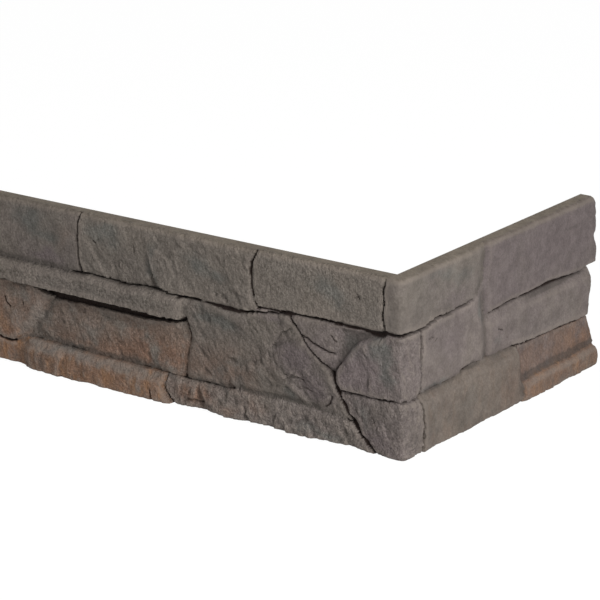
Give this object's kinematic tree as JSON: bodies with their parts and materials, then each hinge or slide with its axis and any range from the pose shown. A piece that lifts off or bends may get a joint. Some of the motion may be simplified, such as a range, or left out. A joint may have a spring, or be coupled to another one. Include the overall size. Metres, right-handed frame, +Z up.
{
  "type": "stone cladding corner piece",
  "caption": "L-shaped cast stone corner piece for wall cladding: long and short leg of split ledge stones over a flat back.",
  "frame": {"origin": "foot of the inner arris, where the two flat back faces meet", "axes": "+Z up; the long leg runs along -X with its stones facing -Y, the short leg along +Y with its stones facing +X"},
  "size_m": [0.4914, 0.3088, 0.15],
  "materials": {
    "cast_stone": "matte, rough"
  },
  "bodies": {
    "root": {"corner_stone": "cast_stone"}
  },
  "joints": []
}
